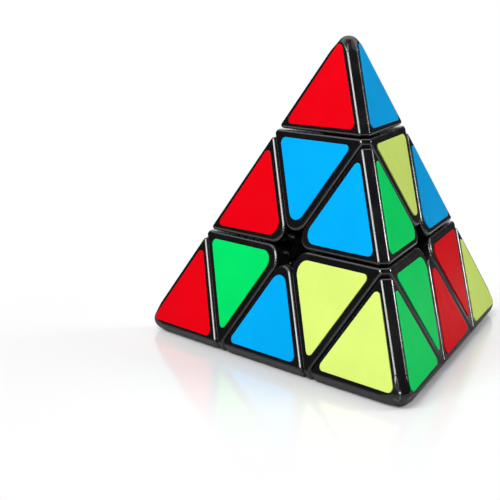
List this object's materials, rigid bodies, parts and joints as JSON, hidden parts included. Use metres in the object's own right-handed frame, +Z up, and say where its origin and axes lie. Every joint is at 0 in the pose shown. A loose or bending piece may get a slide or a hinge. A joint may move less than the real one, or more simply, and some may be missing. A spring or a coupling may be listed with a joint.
{
  "type": "pyramid twisty puzzle",
  "caption": "Tetrahedral twisty puzzle: black glossy pieces with coloured vinyl stickers turn about a sprung, screwed core; each corner layer and each corner tip rotates.",
  "frame": {"origin": "the point in the middle of the core where the four turning axes cross", "axes": "+Z up through the top corner; -Y towards the front corner, with the left corner at -X and the right corner at +X; the base face points down"},
  "size_m": [0.0952, 0.0829, 0.0779],
  "materials": {
    "black_plastic": "glossy moulded black ABS with softly rounded edges and faint handling marks",
    "inner_plastic": "black moulded ABS, less polished than the outside",
    "core_plastic": "satin dark grey nylon",
    "screw_steel": "bright zinc plated steel",
    "spring_steel": "drawn spring wire",
    "washer_steel": "stamped steel with fine scratches",
    "sticker_red": "smooth semi-gloss vinyl film, saturated red",
    "sticker_blue": "smooth semi-gloss vinyl film, sky blue",
    "sticker_green": "smooth semi-gloss vinyl film, bright green",
    "sticker_yellow": "smooth semi-gloss vinyl film, fluorescent lemon yellow"
  },
  "bodies": {
    "core": {"core_spider": "core_plastic", "tension_screws": "screw_steel", "tension_springs": "spring_steel", "spring_washers": "washer_steel"},
    "layer_top": {"axial_top": "black_plastic", "sticker_axial_top_left_face": "sticker_blue", "sticker_axial_top_right_face": "sticker_yellow", "sticker_axial_top_back_face": "sticker_red"},
    "layer_front": {"axial_front": "black_plastic", "sticker_axial_front_left_face": "sticker_yellow", "sticker_axial_front_right_face": "sticker_green", "sticker_axial_front_base_face": "sticker_blue"},
    "layer_left": {"axial_left": "black_plastic", "sticker_axial_left_left_face": "sticker_green", "sticker_axial_left_back_face": "sticker_blue", "sticker_axial_left_base_face": "sticker_red"},
    "layer_right": {"axial_right": "black_plastic", "sticker_axial_right_right_face": "sticker_red", "sticker_axial_right_back_face": "sticker_green", "sticker_axial_right_base_face": "sticker_yellow"},
    "tip_top": {"tip_cap_top": "black_plastic", "tip_base_top": "inner_plastic", "sticker_tip_top_left_face": "sticker_red", "sticker_tip_top_right_face": "sticker_blue", "sticker_tip_top_back_face": "sticker_yellow"},
    "tip_front": {"tip_cap_front": "black_plastic", "tip_base_front": "inner_plastic", "sticker_tip_front_left_face": "sticker_yellow", "sticker_tip_front_right_face": "sticker_green", "sticker_tip_front_base_face": "sticker_blue"},
    "tip_left": {"tip_cap_left": "black_plastic", "tip_base_left": "inner_plastic", "sticker_tip_left_left_face": "sticker_red", "sticker_tip_left_back_face": "sticker_green", "sticker_tip_left_base_face": "sticker_blue"},
    "tip_right": {"tip_cap_right": "black_plastic", "tip_base_right": "inner_plastic", "sticker_tip_right_right_face": "sticker_yellow", "sticker_tip_right_back_face": "sticker_red", "sticker_tip_right_base_face": "sticker_green"},
    "edge_top_left": {"edge_top_left": "black_plastic", "sticker_edge_top_left_left_face": "sticker_red", "sticker_edge_top_left_back_face": "sticker_yellow"},
    "edge_top_front": {"edge_top_front": "black_plastic", "sticker_edge_top_front_left_face": "sticker_blue", "sticker_edge_top_front_right_face": "sticker_green"},
    "edge_top_right": {"edge_top_right": "black_plastic", "sticker_edge_top_right_right_face": "sticker_blue", "sticker_edge_top_right_back_face": "sticker_yellow"},
    "edge_left_front": {"edge_left_front": "black_plastic", "sticker_edge_left_front_left_face": "sticker_blue", "sticker_edge_left_front_base_face": "sticker_red"},
    "edge_front_right": {"edge_front_right": "black_plastic", "sticker_edge_front_right_right_face": "sticker_red", "sticker_edge_front_right_base_face": "sticker_green"},
    "edge_right_left": {"edge_right_left": "black_plastic", "sticker_edge_right_left_back_face": "sticker_green", "sticker_edge_right_left_base_face": "sticker_yellow"}
  },
  "joints": [
    {"name": "turn_top", "type": "hinge", "parent": "core", "child": "layer_top", "pos_m": [0, 0, 0], "axis": [0, 0, 1], "range_deg": [-120, 240]},
    {"name": "turn_front", "type": "hinge", "parent": "core", "child": "layer_front", "pos_m": [0, 0, 0], "axis": [0, -0.9428, -0.3333], "range_deg": [-120, 240]},
    {"name": "turn_left", "type": "hinge", "parent": "core", "child": "layer_left", "pos_m": [0, 0, 0], "axis": [-0.8165, 0.4714, -0.3333], "range_deg": [-120, 240]},
    {"name": "turn_right", "type": "hinge", "parent": "core", "child": "layer_right", "pos_m": [0, 0, 0], "axis": [0.8165, 0.4714, -0.3333], "range_deg": [-120, 240]},
    {"name": "twist_tip_top", "type": "hinge", "parent": "layer_top", "child": "tip_top", "pos_m": [0, 0, 0], "axis": [0, 0, 1], "continuous": true},
    {"name": "twist_tip_front", "type": "hinge", "parent": "layer_front", "child": "tip_front", "pos_m": [0, 0, 0], "axis": [0, -0.9428, -0.3333], "continuous": true},
    {"name": "twist_tip_left", "type": "hinge", "parent": "layer_left", "child": "tip_left", "pos_m": [0, 0, 0], "axis": [-0.8165, 0.4714, -0.3333], "continuous": true},
    {"name": "twist_tip_right", "type": "hinge", "parent": "layer_right", "child": "tip_right", "pos_m": [0, 0, 0], "axis": [0.8165, 0.4714, -0.3333], "continuous": true},
    {"name": "carry_edge_top_left", "type": "hinge", "parent": "layer_top", "child": "edge_top_left", "pos_m": [0, 0, 0], "axis": [-0.8165, 0.4714, -0.3333], "range_deg": [-120, 240]},
    {"name": "carry_edge_top_front", "type": "hinge", "parent": "layer_top", "child": "edge_top_front", "pos_m": [0, 0, 0], "axis": [0, -0.9428, -0.3333], "range_deg": [-120, 240]},
    {"name": "carry_edge_top_right", "type": "hinge", "parent": "layer_top", "child": "edge_top_right", "pos_m": [0, 0, 0], "axis": [0.8165, 0.4714, -0.3333], "range_deg": [-120, 240]},
    {"name": "carry_edge_left_front", "type": "hinge", "parent": "layer_front", "child": "edge_left_front", "pos_m": [0, 0, 0], "axis": [-0.8165, 0.4714, -0.3333], "range_deg": [-120, 240]},
    {"name": "carry_edge_front_right", "type": "hinge", "parent": "layer_right", "child": "edge_front_right", "pos_m": [0, 0, 0], "axis": [0, -0.9428, -0.3333], "range_deg": [-120, 240]},
    {"name": "carry_edge_right_left", "type": "hinge", "parent": "layer_left", "child": "edge_right_left", "pos_m": [0, 0, 0], "axis": [0.8165, 0.4714, -0.3333], "range_deg": [-120, 240]}
  ],
  "couplings": [
    {"joint": "carry_edge_top_left", "follows": "turn_left", "ratio": 1},
    {"joint": "carry_edge_top_front", "follows": "turn_front", "ratio": 1},
    {"joint": "carry_edge_top_right", "follows": "turn_right", "ratio": 1},
    {"joint": "carry_edge_left_front", "follows": "turn_left", "ratio": 1},
    {"joint": "carry_edge_front_right", "follows": "turn_front", "ratio": 1},
    {"joint": "carry_edge_right_left", "follows": "turn_right", "ratio": 1}
  ]
}
